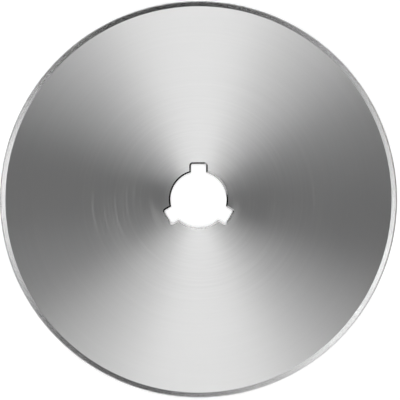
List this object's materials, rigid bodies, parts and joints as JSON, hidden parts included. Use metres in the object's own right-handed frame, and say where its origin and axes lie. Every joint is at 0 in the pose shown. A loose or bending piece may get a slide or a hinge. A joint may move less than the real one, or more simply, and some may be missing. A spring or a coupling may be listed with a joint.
{
  "type": "rotary cutter blade",
  "caption": "Thin round steel blade, ground sharp all round its rim, with a notched hub opening that seats on a rotary cutter's boss.",
  "frame": {"origin": "centre of the hub opening, in the plane of the lower face", "axes": "+Z along the hub axis, up from the face that the blade lies on; +Y through the middle of the first notch"},
  "size_m": [0.06, 0.06, 0.0003],
  "materials": {
    "ground_steel": "satin"
  },
  "bodies": {
    "root": {"blade": "ground_steel"}
  },
  "joints": []
}
